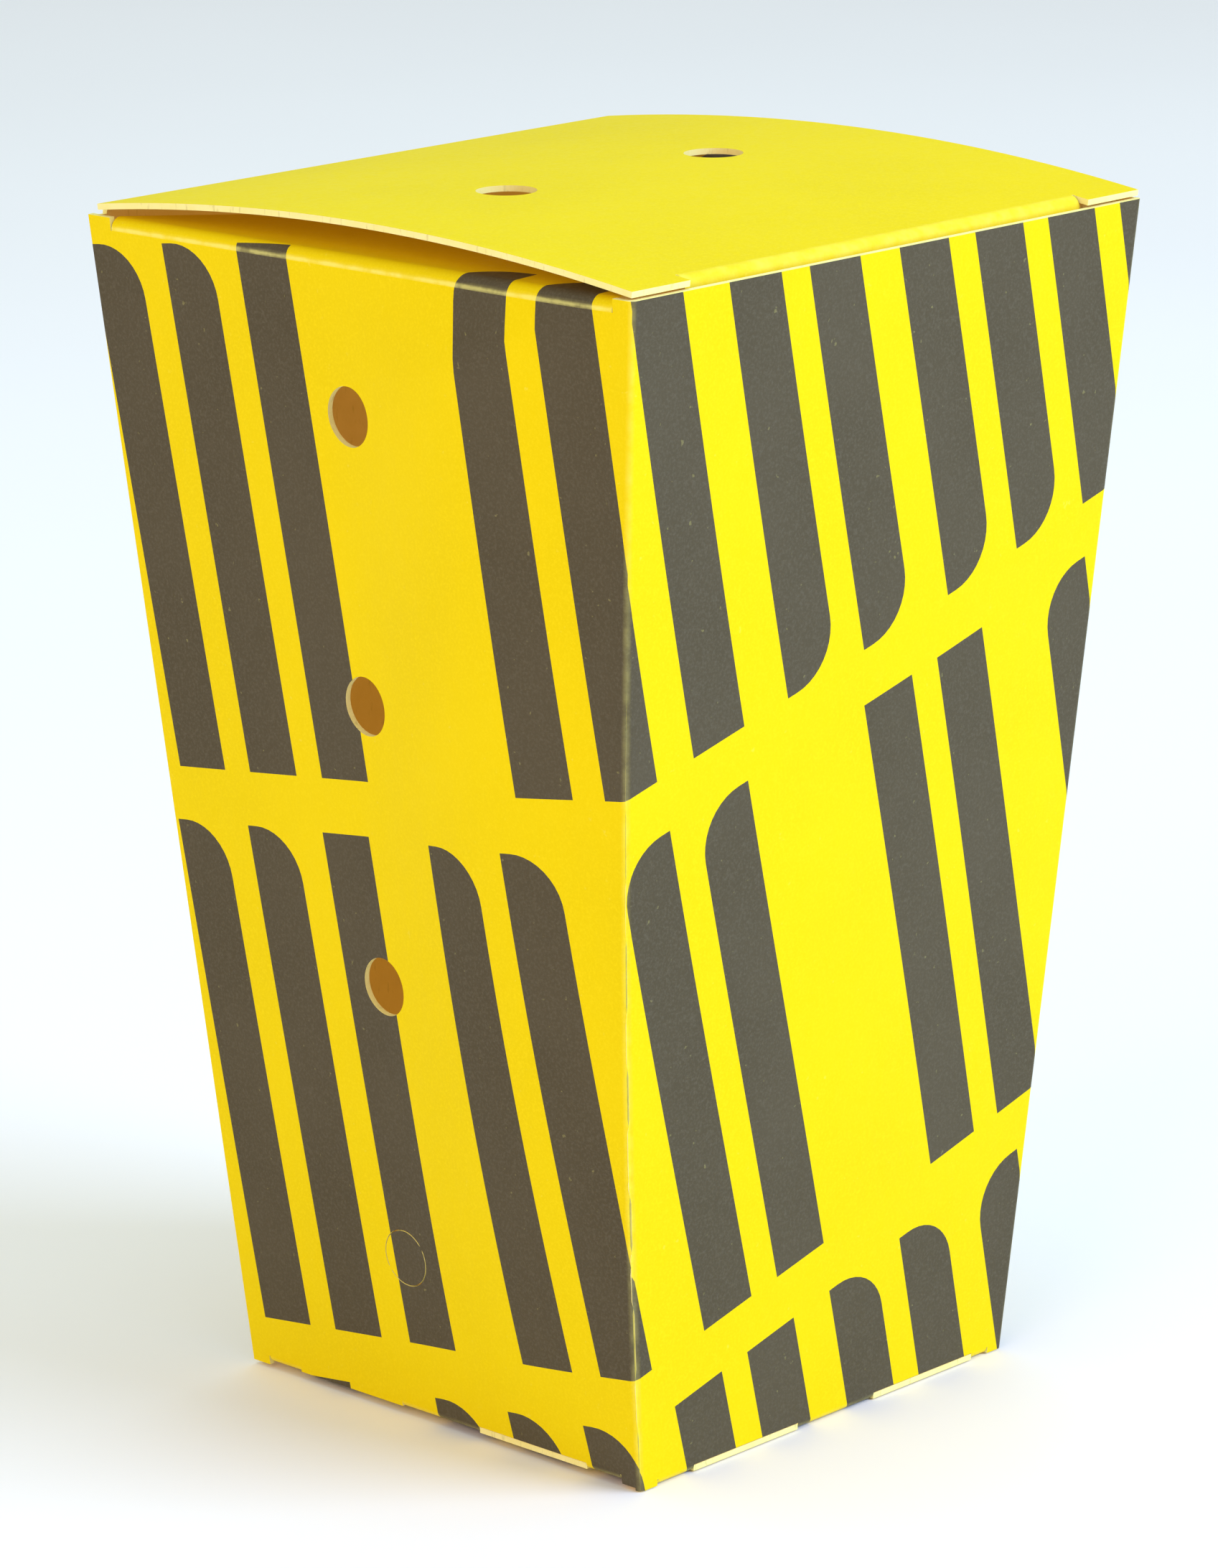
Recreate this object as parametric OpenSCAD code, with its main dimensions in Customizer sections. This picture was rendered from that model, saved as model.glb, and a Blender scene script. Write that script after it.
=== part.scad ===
// Tapered folding carton with a bowed tuck lid, punched holes and a snap-lock bottom.
// Millimetres. Origin at the middle of the bottom, +Z up, front (tuck side) towards -Y.

/* [Body] */
// Height of the four walls above the ground
body_h = 160; // [110:1:230]
// Outside width of the square top
top_w = 98; // [75:0.5:140]
// Outside width of the square bottom
base_w = 73; // [55:0.5:95]
// Thickness of the board
board = 0.8; // [0.5:0.05:1.3]
// Outside radius of the folds
fold_r = 1.6; // [1.4:0.1:2.6]

/* [Lid] */
// Top of the bowed lid above the top edge of the walls
lid_bow = 4.6; // [3.6:0.1:8]
// Top of the lid above the walls where it meets its two folds
lid_lift = 1.5; // [1.2:0.1:2.2]
// Inset of the lid's free side edges from the outside of the walls
lid_inset = 0.4; // [0.2:0.1:1.5]
// Depth of the flap that tucks inside the front wall
tuck_depth = 13; // [9:0.5:16]
// Room between the tucked flap and the front wall
tuck_room = 0.8; // [0.6:0.05:1.2]
// Share of the front fold that is slit through at each end
slit_share = 0.11; // [0.06:0.01:0.18]
// Depth of the two dust flaps under the lid
dust_depth = 21; // [14:0.5:26]

/* [Holes] */
// Diameter of the punched holes
hole_d = 8; // [5:0.1:10]
// Distance between the two holes in the lid
lid_hole_gap = 39.5; // [30:0.5:48]
// Distance between neighbouring holes in the left wall
wall_hole_pitch = 38.7; // [26:0.1:48]
// Distance from the top edge down to the uppermost wall hole
wall_hole_top = 21.1; // [16:0.1:30]
// Offset of the uppermost wall hole from the wall's middle, towards the back
wall_hole_shift = 1.9; // [0:0.1:5]
// Extra offset of each further hole down the column
wall_hole_drift = 0.65; // [0:0.05:1]
// Width of the cut ring around the slug left in the lowest hole
slug_cut = 0.15; // [0.1:0.05:0.4]

/* [Seam and bottom] */
// Width of the glue flap behind the left wall
glue_w = 14; // [9:0.5:20]
// Depth of the two side flaps of the bottom, as a share of the bottom width
side_share = 0.27; // [0.2:0.01:0.28]
// Width of the locking tongue, as a share of the bottom width
tongue_share = 0.38; // [0.3:0.01:0.42]
// Width of the cuts along the bottom folds
cut_w = 0.5; // [0.3:0.05:0.8]

/* [Show] */
// Which sub-part to draw

/* [Hidden] */
$fn = 96;
lean = atan((top_w - base_w) / 2 / body_h);
tn = tan(lean);
cs = cos(lean);
sn = sin(lean);
slope = body_h / cs;                    // length of a wall measured along the board
far = top_w + body_h;
hair = 0.1;                             // degrees left open where a moving fold meets a plate

// folds: plain corner, and the corner at the glued seam
reach = fold_r / cs;                    // fold axis behind the neighbour's outer face
reach_seam = (board + fold_r) / cs;

// half lengths of the folds
base_half = base_w / 2 - 3.2;
hinge_half = top_w / 2 - 2.4;
dust_front = top_w / 2 - 3.4;
dust_back = top_w / 2 - 4.2;

// lid section: one arc between the two fold axes
ax_z = body_h + lid_lift - fold_r;
ax_b = base_w / 2 + ax_z * tn - reach;
tuck_in = board + tuck_room;
ax_f = -(base_w / 2 + ax_z * tn - (tuck_in + fold_r) / cs);
lid_mid = (ax_b + ax_f) / 2;
lid_half = (ax_b - ax_f) / 2;
dip = ax_z - body_h - lid_bow;
lid_r = (lid_half * lid_half + dip * dip - fold_r * fold_r) / (-2 * (fold_r + dip));
lid_a = asin(lid_half / (lid_r - fold_r));
lid_cz = body_h + lid_bow - lid_r;
lid_w = top_w - 2 * lid_inset;
slit_x = (0.5 - slit_share) * top_w;
tab_l = tuck_in + fold_r - 0.6;

// tuck flap
tuck_q = ax_z * cs - (ax_f + base_w / 2) * sn;
tuck_half = base_w / 2 + (body_h - tuck_depth) * tn - board / cs - 1.6;
tuck_corner = 6;

// dust flaps
dust_z = body_h - fold_r;
dust_y = -(base_w / 2 + dust_z * tn) + reach;

// bottom: tongue flap lowest, side flaps next, slotted flap on top
z_side = board;
z_slot = 2 * board;
tongue = tongue_share * base_w / 2;
slot_edge = -0.12 * base_w;
slot_end = slot_edge + 0.17 * base_w;
ramp_0 = slot_edge - 3;
ramp_1 = slot_end - 1;
tongue_end = slot_end + 7;

function edge_p(q, e, d) = base_w / 2 - d + (q + (e + fold_r) * tn) * sn;
function fold_z(zl) = zl + fold_r;
function fold_y(zl) = -(base_w / 2 + fold_z(zl) * tn) + reach;
function wall_q0(zl) = (zl + fold_r * (1 - sn)) / cs;
function hole_q(i) = slope - wall_hole_top - i * wall_hole_pitch;
function hole_x(i) = -(wall_hole_shift + i * wall_hole_drift);

yellow = [0.96, 0.86, 0.05];
pale = [0.97, 0.93, 0.35];
raw = [0.93, 0.90, 0.80];

// ---------- shared helpers ----------

// wall number k: 0 front, 1 right, 2 back, 3 left; x along the wall, y up the slope,
// outer face at z = 0, board behind it
module on_wall(k) {
    rotate([0, 0, 90 * k]) translate([0, -base_w / 2, 0]) rotate([90 + lean, 0, 0]) children();
}

// section drawn in x = world Y, y = world Z, extruded along world X
module along_x(half) {
    rotate([90, 0, 90]) translate([0, 0, -half]) linear_extrude(2 * half) children();
}

module slab() {
    translate([-far, -far, 0]) cube([2 * far, 2 * far, body_h]);
}

module above_ground() {
    translate([-far, -far, 0]) cube([2 * far, 2 * far, 2 * far]);
}

// wall plate; dl and dr are the fold reaches on its two sides, zl its bottom layer, q1 its
// top edge. With tl and tr the top edge is cut down to q1 only that far to each side
module wall_plate(k, dl, dr, zl, q1, tl = 0, tr = 0) {
    lo = -2;
    q0 = wall_q0(zl);
    top = tl > 0 ? [[edge_p(slope, 0, dr), slope], [tr, slope], [tr, q1], [-tl, q1],
        [-tl, slope], [-edge_p(slope, 0, dl), slope]]
        : [[edge_p(q1, 0, dr), q1], [-edge_p(q1, 0, dl), q1]];
    intersection() {
        on_wall(k) translate([0, 0, -board]) linear_extrude(board) polygon(concat([
            [-edge_p(lo, 0, dl), lo], [-base_half, lo], [-base_half, q0], [base_half, q0],
            [base_half, lo], [edge_p(lo, 0, dr), lo]], top));
        above_ground();
    }
}

// upright fold between two walls; axis given by the two reaches
module corner(sx, sy, dx, dy) {
    tilt = atan(sqrt(2) * tn);
    bend = acos(sn * sn);
    intersection() {
        translate([sx * (base_w / 2 - dx), sy * (base_w / 2 - dy), 0])
            rotate([0, 0, atan2(sy, sx)]) rotate([0, tilt, 0])
            rotate([0, 0, -bend / 2]) translate([0, 0, -10]) rotate_extrude(angle = bend)
            translate([fold_r - board, 0]) square([board, slope + 20]);
        slab();
    }
}

// fold running along world X before it is turned to wall k
module level_fold(k, y, z, start, sweep, x0, x1) {
    rotate([0, 0, 90 * k]) rotate([90, 0, 90]) translate([y, z, x0]) rotate([0, 0, start])
        rotate_extrude(angle = sweep) translate([fold_r - board, 0]) square([board, x1 - x0]);
}

// bottom fold with two cuts through it, given as [from, to] pairs along the fold
module base_fold(k, zl, cuts) {
    start = 180 + lean;
    sweep = 90 - lean;
    difference() {
        level_fold(k, fold_y(zl), fold_z(zl), start, sweep, -base_half + 0.15, base_half - 0.15);
        for (c = cuts) rotate([0, 0, 90 * k]) rotate([90, 0, 90])
            translate([fold_y(zl), fold_z(zl), c[0] * base_w]) rotate([0, 0, start + sweep / 2])
            translate([fold_r - board - 0.4, -cut_w / 2, 0])
            cube([board + 0.8, cut_w, (c[1] - c[0]) * base_w]);
    }
}

// ---------- walls ----------

module wall_front() {
    color(yellow) wall_plate(0, reach, reach, 0, slope);
}

module wall_right() {
    q1 = (dust_z - fold_r * sn) / cs;
    color(yellow) wall_plate(1, reach, reach, z_side, q1, dust_front, dust_back);
}

module wall_back() {
    q1 = (ax_z - fold_r * sn) / cs;
    color(yellow) wall_plate(2, reach, reach_seam, z_slot, q1);
}

module wall_left() {
    q1 = (dust_z - fold_r * sn) / cs;
    color(yellow) difference() {
        // the back edge is the raw cut edge of the glued seam
        wall_plate(3, -fold_r * tn * sn, reach, z_side, q1, dust_back, dust_front);
        for (i = [0:3]) on_wall(3) translate([hole_x(i), hole_q(i), -board - 1])
            cylinder(d = hole_d, h = board + 2);
    }
}

module corner_front_left() {
    color(yellow) corner(-1, -1, reach, reach);
}

module corner_front_right() {
    color(yellow) corner(1, -1, reach, reach);
}

module corner_back_right() {
    color(yellow) corner(1, 1, reach, reach);
}

module seam_fold() {
    color(raw) corner(-1, 1, reach_seam, reach);
}

module glue_flap() {
    q0 = 6;
    q1 = slope - 6;
    color(raw) on_wall(3) translate([0, 0, -2 * board]) linear_extrude(board) polygon([
        [-edge_p(q0, board, reach), q0],
        [-edge_p(q0 + 4, board, reach) + glue_w, q0 + 4],
        [-edge_p(q1 - 4, board, reach) + glue_w, q1 - 4],
        [-edge_p(q1, board, reach), q1]]);
}

// slug left in the lowest hole, held by two uncut nicks
module slug() {
    color(yellow) on_wall(3) translate([hole_x(3), hole_q(3), -board]) {
        cylinder(d = hole_d - 2 * slug_cut, h = board);
        rotate([0, 0, 35]) translate([-hole_d / 2 + 0.02, -0.35, 0])
            cube([hole_d - 0.04, 0.7, board]);
    }
}

// ---------- lid, tuck flap and dust flaps ----------

module lid() {
    h = lid_r + 9;
    a = lid_a + tab_l / lid_r * 180 / PI;
    color(pale) difference() {
        along_x(lid_w / 2) translate([lid_mid, lid_cz]) intersection() {
            difference() {
                circle(r = lid_r, $fn = 360);
                circle(r = lid_r - board, $fn = 360);
            }
            polygon([[0, 0], [h * tan(lid_a), h], [-h * tan(a), h]]);
        }
        // between the slits the lid ends where the fold begins; outside them it runs on
        along_x(slit_x) translate([lid_mid, lid_cz]) rotate(lid_a)
            translate([-20, lid_r - 5]) square([20, 10]);
        for (s = [-1, 1]) translate([s * lid_hole_gap / 2, lid_mid, body_h - 5])
            cylinder(d = hole_d, h = lid_bow + 20);
    }
}

module lid_hinge_fold() {
    color(pale) level_fold(0, ax_b, ax_z, -lean + hair, 90 - lid_a + lean - hair,
        -hinge_half + 0.15, hinge_half - 0.15);
}

module tuck_fold() {
    color(pale) level_fold(0, ax_f, ax_z, 90 + lid_a + hair, 90 + lean - lid_a - hair,
        -slit_x + 0.3, slit_x - 0.3);
}

module tuck_flap() {
    lo = tuck_q - tuck_depth;
    hi = tuck_q - 1;
    c = tuck_corner;
    color(pale) on_wall(0) translate([0, 0, -tuck_in - board]) linear_extrude(board) union() {
        polygon([[-tuck_half + c, lo], [tuck_half - c, lo], [tuck_half - c, lo + c],
            [tuck_half, lo + c], [tuck_half, hi], [slit_x - 0.3, hi], [slit_x - 0.3, tuck_q],
            [-slit_x + 0.3, tuck_q], [-slit_x + 0.3, hi], [-tuck_half, hi],
            [-tuck_half, lo + c], [-tuck_half + c, lo + c]]);
        for (s = [-1, 1]) translate([s * (tuck_half - c), lo + c]) circle(r = c);
    }
}

module dust_fold_left() {
    color(yellow) level_fold(3, dust_y, dust_z, 90, 90 + lean - hair, -dust_back + 0.15,
        dust_front - 0.15);
}

// the back edge runs in at 45 degrees, the front edge tapers a little
module dust_flap_left() {
    d = dust_depth;
    c = 3;
    color(yellow) rotate([0, 0, 270]) translate([0, dust_y, body_h - board])
        linear_extrude(board) union() {
        polygon([[-dust_back + 0.15, 0], [dust_front - 0.15, 0], [dust_front - 0.15, 3],
            [dust_front - 3, d - c], [dust_front - 3 - c, d - c], [dust_front - 3 - c, d],
            [-dust_back + 0.15 + d, d]]);
        translate([dust_front - 3 - c, d - c]) circle(r = c);
    }
}

module dust_fold_right() {
    mirror([1, 0, 0]) dust_fold_left();
}

module dust_flap_right() {
    mirror([1, 0, 0]) dust_flap_left();
}

// ---------- bottom ----------

module base_fold_front() {
    color(yellow) base_fold(0, 0, [[-0.36, -0.08], [0.13, 0.41]]);
}

module base_fold_back() {
    color(yellow) base_fold(2, z_slot, [[-0.36, -0.08], [0.08, 0.36]]);
}

module base_fold_left() {
    color(yellow) base_fold(3, z_side, [[-0.37, -0.10], [0.10, 0.37]]);
}

module base_fold_right() {
    color(yellow) base_fold(1, z_side, [[-0.37, -0.10], [0.10, 0.37]]);
}

module base_tongue_flap() {
    y0 = fold_y(0);
    h = base_half - 0.15;
    rise = board * 1.03;
    color(raw) union() {
        linear_extrude(board) polygon([[-h, y0], [h, y0], [h - 2, y0 + 5], [tongue + 4, y0 + 14],
            [tongue, ramp_0 - 2], [tongue, ramp_0], [-tongue, ramp_0], [-tongue, ramp_0 - 2],
            [-tongue - 4, y0 + 14], [-h + 2, y0 + 5]]);
        // tongue: up through the slot and onto the slotted flap
        along_x(tongue) polygon([[ramp_0, 0], [ramp_1, 3 * board], [tongue_end, 3 * board],
            [tongue_end, 4 * board], [ramp_1, 4 * board], [ramp_0, board]]);
    }
}

module base_side_flap(k) {
    y0 = fold_y(z_side);
    h = base_half - 0.15;
    d = side_share * base_w;
    rotate([0, 0, 90 * k]) translate([0, 0, z_side]) linear_extrude(board)
        polygon([[-h, y0], [h, y0], [h - 1, y0 + 4], [h - d * 0.55, y0 + d],
            [-h + d * 0.55, y0 + d], [-h + 1, y0 + 4]]);
}

module base_side_flap_left() {
    color(raw) base_side_flap(3);
}

module base_side_flap_right() {
    color(raw) base_side_flap(1);
}

module base_slot_flap() {
    y0 = -fold_y(z_slot);
    h = base_half - 0.15;
    n = tongue + 1;
    color(raw) translate([0, 0, z_slot]) linear_extrude(board)
        polygon([[-h, y0], [-h, slot_edge + 6], [-h + 6, slot_edge], [-n, slot_edge],
            [-n, slot_end], [n, slot_end], [n, slot_edge], [h - 6, slot_edge],
            [h, slot_edge + 6], [h, y0]]);
}

// ---------- drawing ----------

wall_front();
wall_right();
wall_back();
wall_left();
corner_front_left();
corner_front_right();
corner_back_right();
seam_fold();
glue_flap();
slug();
lid();
lid_hinge_fold();
tuck_fold();
tuck_flap();
dust_fold_left();
dust_flap_left();
dust_fold_right();
dust_flap_right();
base_fold_front();
base_tongue_flap();
base_fold_back();
base_slot_flap();
base_fold_left();
base_side_flap_left();
base_fold_right();
base_side_flap_right();
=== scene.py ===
"""Looks of the tapered folding carton: printed board, raw edges, creased folds, studio."""

import math

import bpy
import numpy as np
from mathutils import Matrix, Vector
from mathutils.geometry import delaunay_2d_cdt


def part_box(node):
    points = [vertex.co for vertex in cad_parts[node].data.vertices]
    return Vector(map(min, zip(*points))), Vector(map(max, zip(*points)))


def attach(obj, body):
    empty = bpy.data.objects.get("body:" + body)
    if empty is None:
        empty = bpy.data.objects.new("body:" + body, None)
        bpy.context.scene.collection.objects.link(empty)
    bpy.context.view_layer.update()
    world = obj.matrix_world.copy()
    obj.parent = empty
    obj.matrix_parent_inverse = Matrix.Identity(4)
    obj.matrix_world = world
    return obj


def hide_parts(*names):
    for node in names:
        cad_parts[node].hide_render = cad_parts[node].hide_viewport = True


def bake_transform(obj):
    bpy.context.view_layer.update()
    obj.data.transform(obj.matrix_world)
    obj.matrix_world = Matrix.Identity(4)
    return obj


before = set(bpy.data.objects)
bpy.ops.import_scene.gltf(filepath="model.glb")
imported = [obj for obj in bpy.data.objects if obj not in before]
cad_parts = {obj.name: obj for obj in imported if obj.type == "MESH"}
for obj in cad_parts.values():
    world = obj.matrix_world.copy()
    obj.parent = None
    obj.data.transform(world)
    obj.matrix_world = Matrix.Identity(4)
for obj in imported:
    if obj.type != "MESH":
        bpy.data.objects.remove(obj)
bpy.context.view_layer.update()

# ---------- sizes, millimetres, in the frame's axes ----------

MM = 0.001
TOP_W = -2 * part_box("wall_front")[0].y / MM
BODY_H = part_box("wall_front")[1].z / MM
BASE_W = 73.0
BOARD = 0.8
FOLD_R = 1.6  # outer radius of the folds at the top
BASE_R = 1.0  # outer radius of the folds at the bottom
CORNER_R = 0.9  # outer radius of the upright folds
LID_LIFT = 1.5
LID_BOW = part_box("lid")[1].z / MM - BODY_H
LID_HALF_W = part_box("lid")[1].x / MM
TUCK_DEPTH = 13.0
TUCK_ROOM = 0.8
TUCK_CORNER = 6.0
TUCK_SIDE_ROOM = 1.6
DUST_DEPTH = 21.0
DUST_CORNER = 3.0
DUST_TAPER = 3.0
HOLE_R = 4.0
LID_HOLE_GAP = 39.5
WALL_HOLES = 4
WALL_HOLE_TOP = 21.1  # from the top edge down to the uppermost hole
WALL_HOLE_PITCH = 38.7
WALL_HOLE_SHIFT = 1.9  # of the uppermost hole from the wall's middle, towards the back
WALL_HOLE_DRIFT = 0.65  # more for each hole further down
SLUG_CUT = 0.15
NICK_HALF = 0.35  # half the width of a nick that holds the slug
GLUE_W = 14.0
GLUE_INSET = 6.0  # from the wall's two ends to the glue flap's
GLUE_TAPER = 4.0
FIT = 0.15  # clearance at each end of a fold
SLIT_W = 0.3
SIDE_DEPTH = 0.27 * BASE_W  # of the bottom's side flaps

LEAN = math.atan((TOP_W - BASE_W) / 2 / BODY_H)
TN, CS, SN = math.tan(LEAN), math.cos(LEAN), math.sin(LEAN)
SLOPE = BODY_H / CS  # wall height measured along the board
REACH = FOLD_R / CS
# half lengths of the folds
BASE_HALF = BASE_W / 2 - 3.2
HINGE_HALF = TOP_W / 2 - 2.4
DUST_FRONT = TOP_W / 2 - 3.4
DUST_BACK = TOP_W / 2 - 4.2

# lid section: one arc between its two folds
AX_Z = BODY_H + LID_LIFT - FOLD_R
AX_BACK = BASE_W / 2 + AX_Z * TN - REACH
TUCK_IN = BOARD + TUCK_ROOM
AX_FRONT = BASE_W / 2 + AX_Z * TN - (TUCK_IN + FOLD_R) / CS
LID_SPAN = (AX_BACK + AX_FRONT) / 2
DIP = AX_Z - BODY_H - LID_BOW
LID_R = (LID_SPAN**2 + DIP**2 - FOLD_R**2) / (-2 * (FOLD_R + DIP))
LID_A = math.asin(LID_SPAN / (LID_R - FOLD_R))
SLIT_X = 0.39 * TOP_W  # where the slits are, either side of the middle
TAB_L = TUCK_IN + FOLD_R - 0.6  # how far the lid runs on outside the slits
DUST_Z = BODY_H - FOLD_R
SEAM_REACH = BOARD / CS + CORNER_R  # what the seam's fold takes up of the back wall


def half(z):
    """Half the outside width of the carton at height z."""
    return BASE_W / 2 + z * TN


# wall number k: 0 front, 1 right, 2 back, 3 left; x runs rightwards seen from outside
ALONG = [(1, 0, 0), (0, 1, 0), (-1, 0, 0), (0, -1, 0)]
OUT = [(0, -1, 0), (1, 0, 0), (0, 1, 0), (-1, 0, 0)]


# ---------- board in section ----------

STRAIGHT = 1e-12  # bends below this count as none


class Section:
    """Outer line of a strip of board: straight and round stretches, one after the other.

    d is the distance from the middle of the carton, z the height. heading 0 points
    outwards and 90 degrees up; a positive turn curls the board inwards.
    """

    def __init__(self, start, d, z, heading, stretches):
        self.knots = []
        s = start
        for length, turn in stretches:
            bend = turn / length
            self.knots.append((s, d, z, heading, bend))
            d, z, heading = self.step(d, z, heading, bend, length)
            s += length
        self.knots.append((s, d, z, heading, 0.0))

    @staticmethod
    def step(d, z, heading, bend, t):
        """Where the board is, and where it heads, a distance t further on."""
        if abs(bend) < STRAIGHT:
            return d + t * math.cos(heading), z + t * math.sin(heading), heading
        new = heading + bend * t
        d += (math.sin(new) - math.sin(heading)) / bend
        z += (math.cos(heading) - math.cos(new)) / bend
        return d, z, new

    def at(self, s):
        """d and z at distance s along the board."""
        knots = np.array(self.knots)
        i = np.clip(np.searchsorted(knots[:, 0], s, side="right") - 1, 0, len(knots) - 1)
        s0, d0, z0, a0, bend = knots[i].T
        t = s - s0
        a1 = a0 + bend * t
        flat = np.abs(bend) < STRAIGHT
        safe = np.where(flat, 1.0, bend)
        d = np.where(flat, d0 + t * np.cos(a0), d0 + (np.sin(a1) - np.sin(a0)) / safe)
        z = np.where(flat, z0 + t * np.sin(a0), z0 + (np.cos(a0) - np.cos(a1)) / safe)
        return d, z


UPRIGHT = math.pi / 2 - LEAN
BOTTOM_ARC = BASE_R * UPRIGHT


def wall_start(layer):
    """Distance up the wall at which the fold to a bottom flap ends."""
    return (layer + BASE_R * (1 - SN)) / CS


def fold_axis(layer):
    """Distance from the middle to the axis of a bottom fold."""
    return half(layer + BASE_R) - BASE_R / CS


def strip(layer, flap, top):
    """Section of a whole strip: bottom flap from its tip, fold, wall, then what follows.

    The wall's own distances are those up its outer face from the ground; top[0] is where it ends.
    """
    q0 = wall_start(layer)
    length = sum(part[0] for part in flap)
    _, run, rise, _, _ = Section(0, 0, 0, 0, flap).knots[-1]
    stretches = flap + [(BOTTOM_ARC, UPRIGHT), (top[0] - q0, 0.0)] + top[1:]
    return Section(q0 - BOTTOM_ARC - length, fold_axis(layer) - run, layer - rise, 0.0, stretches)


DUST_Q = (DUST_Z - FOLD_R * SN) / CS
HINGE_Q = (AX_Z - FOLD_R * SN) / CS
DUST_ARC = FOLD_R * (math.pi / 2 + LEAN)
LID_FOLD_TURN = math.pi / 2 + LEAN - LID_A
LID_FOLD_ARC = FOLD_R * LID_FOLD_TURN
LID_ARC = 2 * LID_A * LID_R

# locking tongue: half its width, the slot it passes through, its ramp and its tip, towards the back
TONGUE = 0.19 * BASE_W
SLOT_EDGE = -0.12 * BASE_W
SLOT_END = SLOT_EDGE + 0.17 * BASE_W
RAMP_LOW = SLOT_EDGE - 3
RAMP_HIGH = SLOT_END - 1
TONGUE_END = SLOT_END + 7
RAMP_TURN = math.atan(3 * BOARD / (RAMP_HIGH - RAMP_LOW))
RAMP = math.hypot(3 * BOARD, RAMP_HIGH - RAMP_LOW)
RAMP_BEND = 2.0  # length of board in each of the ramp's two bends

lid_part = [(LID_FOLD_ARC, LID_FOLD_TURN), (LID_ARC, 2 * LID_A)]
dust_part = [(DUST_ARC, math.pi / 2 + LEAN), (DUST_DEPTH, 0.0)]
tongue_part = [(TONGUE_END - RAMP_HIGH - RAMP_BEND / 2, 0.0), (RAMP_BEND, -RAMP_TURN),
               (RAMP - RAMP_BEND, 0.0), (RAMP_BEND, RAMP_TURN),
               (fold_axis(0) + RAMP_LOW - RAMP_BEND / 2, 0.0)]
slot_part = [(fold_axis(2 * BOARD) - SLOT_EDGE, 0.0)]
side_part = [(SIDE_DEPTH, 0.0)]
tuck_part = [(LID_FOLD_ARC, LID_FOLD_TURN), (TUCK_DEPTH, 0.0)]

PLAIN = Section(-5, BASE_W / 2 - 5 * SN, -5 * CS, UPRIGHT, [(SLOPE + 10, 0.0)])
LAYER = [0.0, BOARD, 2 * BOARD, BOARD]
STRIP = [
    strip(LAYER[0], tongue_part, [SLOPE]),
    strip(LAYER[1], side_part, [DUST_Q, *dust_part]),
    strip(LAYER[2], slot_part, [HINGE_Q, *lid_part, *tuck_part]),
    strip(LAYER[3], side_part, [DUST_Q, *dust_part]),
]
# outside its two slits the lid runs straight on where the tuck fold would begin
LID_STRIP = strip(LAYER[2], slot_part, [HINGE_Q, lid_part[0], (LID_ARC + TAB_L, 2 * LID_A + TAB_L / LID_R)])
LID_START = HINGE_Q + LID_FOLD_ARC
LID_END = LID_START + LID_ARC
TUCK_START = LID_END + LID_FOLD_ARC
DUST_START = DUST_Q + DUST_ARC


# ---------- how the real board has settled ----------


def bump(t):
    """Smooth hill: 1 at t = 0, 0 from t = 1 outwards."""
    return np.clip(1 - t * t, 0, 1) ** 2


# largest shift of a wall's middle, of the near corner and of the left wall's near half
BELLY = 0.5
CORNER_BOW = 0.9
BULGE = 2.3
CORNER_REACH = 62.0  # how far from the corner the bow dies out
BULGE_Y = -20.0
BULGE_HALF = 26.0
BULGE_FOOT = 0.45 * BODY_H  # height at which the bulge has its full depth
CREASE_DEPTH = 20.0  # of the left wall's crease below the top edge, at the middle of the wall
CREASE_SLOPE = 0.45
CREASE_RUN = 44.0
CREASE_SOFT = 0.04  # how gently the crease bends


def settle(p):
    """Shift of a point on the outside: walls belly out, the near corner bows, the left wall is kinked."""
    x, y, z = p.T
    h = half(z)
    rise = np.clip(z / BODY_H, 0, 1)
    standing = (z > 0) & (z < BODY_H)
    belly = np.where(standing, np.sin(math.pi * rise), 0)
    # the front left corner gives way to the left and backwards
    bow = CORNER_BOW * belly * bump((x + h + y + h) / CORNER_REACH)
    shift = np.stack([-bow, bow, np.zeros_like(bow)], axis=1)
    on_side = np.abs(x) > np.abs(y)
    across = np.clip(1 - (np.minimum(np.abs(x), np.abs(y)) / h) ** 2, 0, 1)
    puff = BELLY * across * belly
    # near half of the left wall: bulges further, up to a crease that climbs towards the corner
    crease = BODY_H - CREASE_DEPTH + CREASE_SLOPE * np.clip(-y, 0, CREASE_RUN)
    t = (BODY_H - z) / (BODY_H - crease)
    ramp = t - CREASE_SOFT * np.logaddexp(0, (t - 1) / CREASE_SOFT)
    footing = np.clip(z / BULGE_FOOT, 0, 1)
    bulge = BULGE * bump((y - BULGE_Y) / BULGE_HALF) * np.clip(ramp, 0, 1) * footing * (2 - footing)
    puff += np.where(on_side & (x < 0) & standing, bulge, 0)
    shift[:, 0] += np.where(on_side, np.sign(x) * puff, 0)
    shift[:, 1] += np.where(on_side, 0, np.sign(y) * puff)
    return shift


# ---------- sheets of board ----------

WALL_STEP = 4.0  # grid of a flat board
CREASED_STEP = 1.8  # grid of the left wall, fine enough for its crease
FLAP_STEP = 3.0  # grid of a bottom flap
LEVEL_FOLD = {"stretch": 12}  # a level fold is curved along s
UPRIGHT_FOLD = {"step": 0.25, "stretch": 0.1}  # an upright fold is curved across, and straight along s
RAW_END = {"stretch": 8}  # short stretches of board beside a cut
EDGE_CLEAR = 0.3  # share of a step that the grid keeps clear of every edge


def world_point(k, across, d, z):
    """Points of strip k in the frame, with the board settled."""
    p = across[:, None] * np.array(ALONG[k], float) + d[:, None] * np.array(OUT[k], float)
    p[:, 2] = z
    return p + settle(p)


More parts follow.
